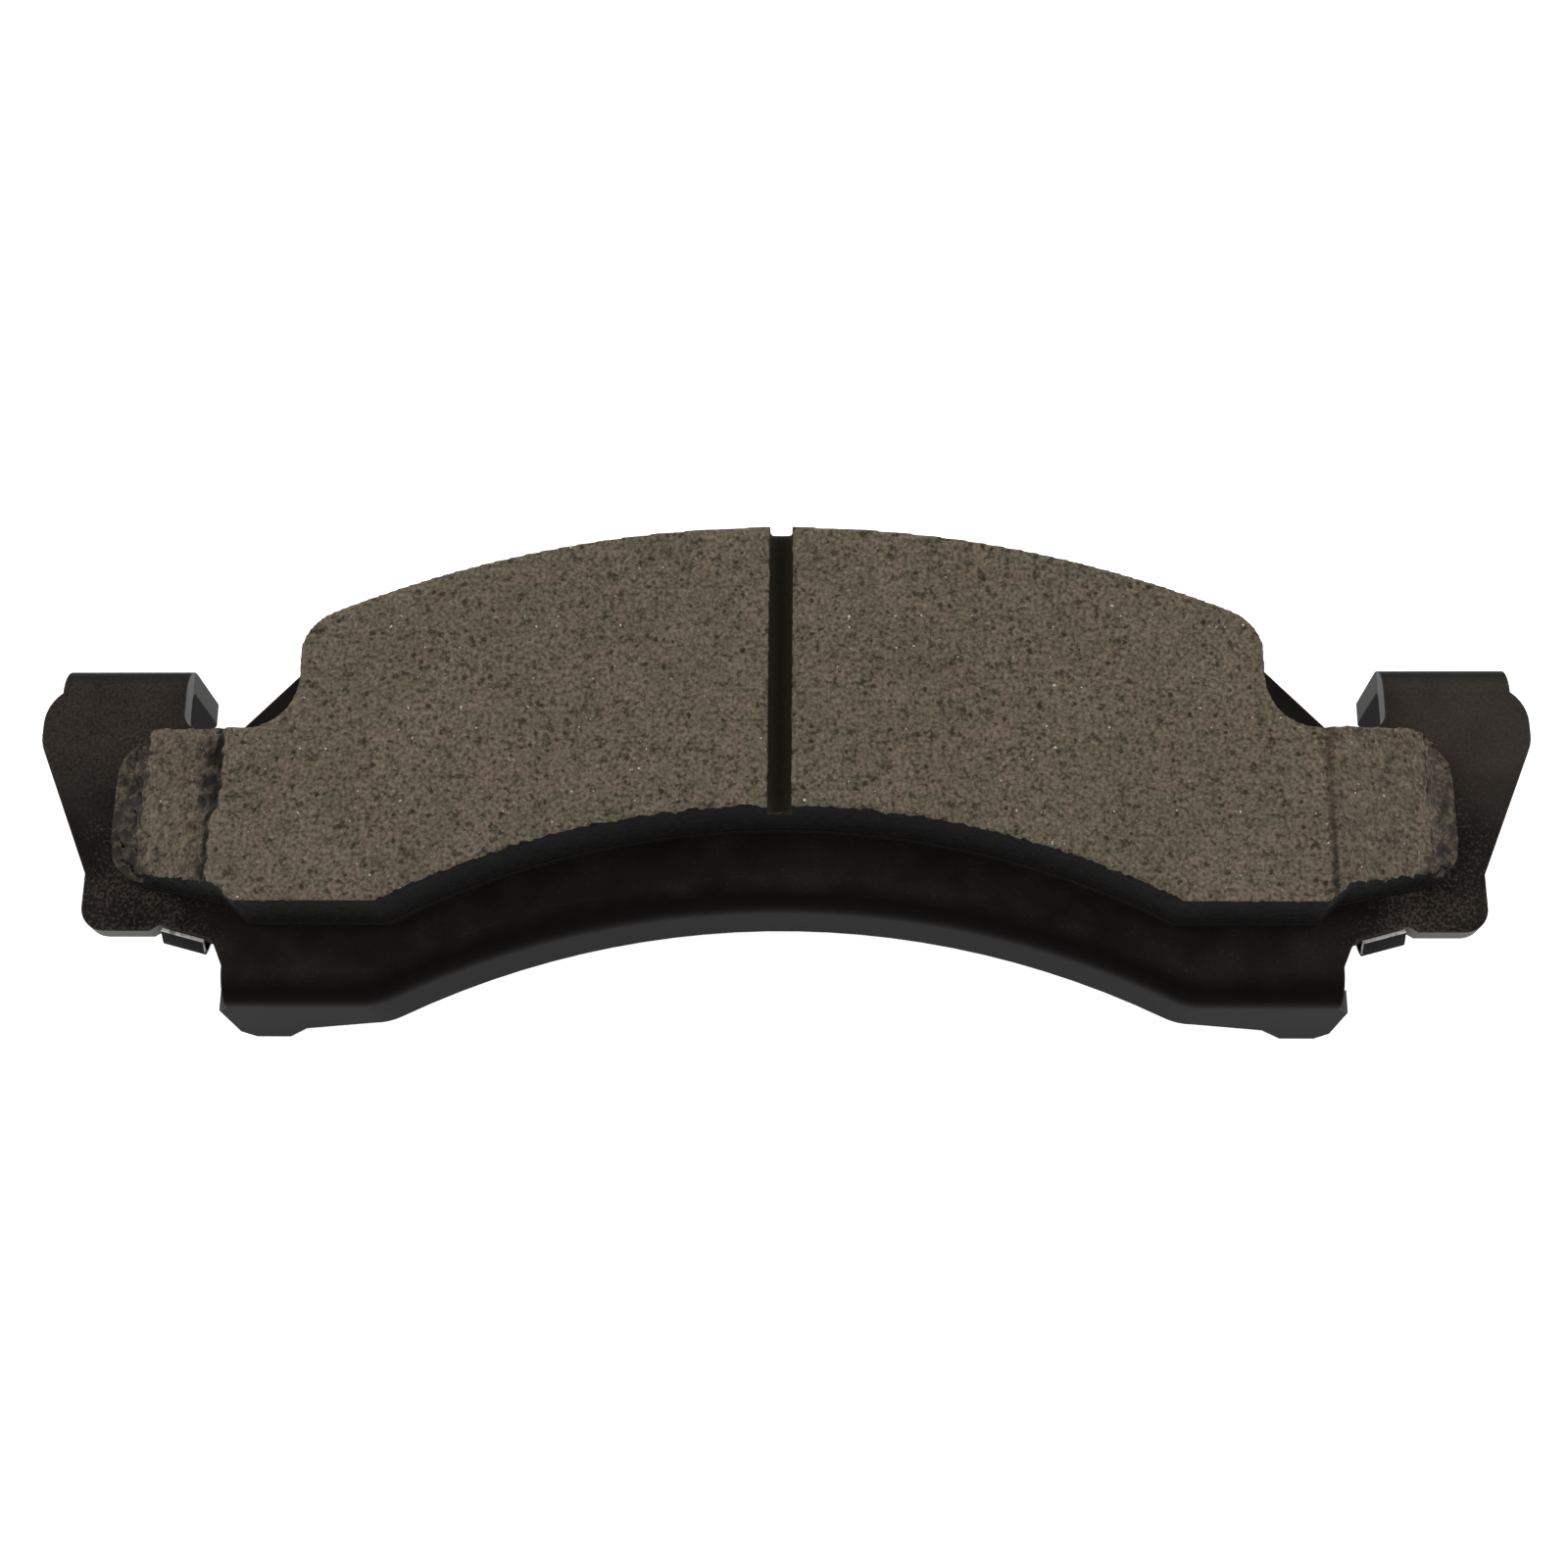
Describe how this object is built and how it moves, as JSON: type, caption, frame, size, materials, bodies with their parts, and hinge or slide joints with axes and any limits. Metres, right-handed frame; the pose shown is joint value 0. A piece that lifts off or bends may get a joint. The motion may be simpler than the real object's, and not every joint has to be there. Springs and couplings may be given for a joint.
{
  "type": "brake pad",
  "caption": "Arched outboard disc brake pad: slotted, chamfered lining bonded to a folded steel backing plate with caliper hooks, a lower flange and a clipped noise shim.",
  "frame": {"origin": "centre of the back face that the caliper presses on: the outer face of the noise shim, on the pad's line of symmetry, halfway up the pad", "axes": "+X along the pad's length, +Y away from the rotor axis, +Z out of the back towards the rotor, at a right angle to the rubbing face"},
  "size_m": [0.2114, 0.0667, 0.0349],
  "materials": {
    "plate_steel": "thin satin black-brown stoving paint on stamped steel",
    "bond_adhesive": "cured phenolic adhesive",
    "underlayer_mix": "moulded thermal underlayer",
    "friction_mix": "ground semi-metallic friction material with dark and bright specks",
    "shim_glue": "pressure-sensitive adhesive film",
    "shim_steel": "black coated thin sheet steel with bare sheared edges",
    "shim_coat": "thin matt rubber coat"
  },
  "bodies": {
    "root": {"backing_plate": "plate_steel", "bond_film": "bond_adhesive", "underlayer": "underlayer_mix", "friction_block": "friction_mix", "shim_adhesive": "shim_glue", "shim_core": "shim_steel", "shim_rubber": "shim_coat"}
  },
  "joints": []
}
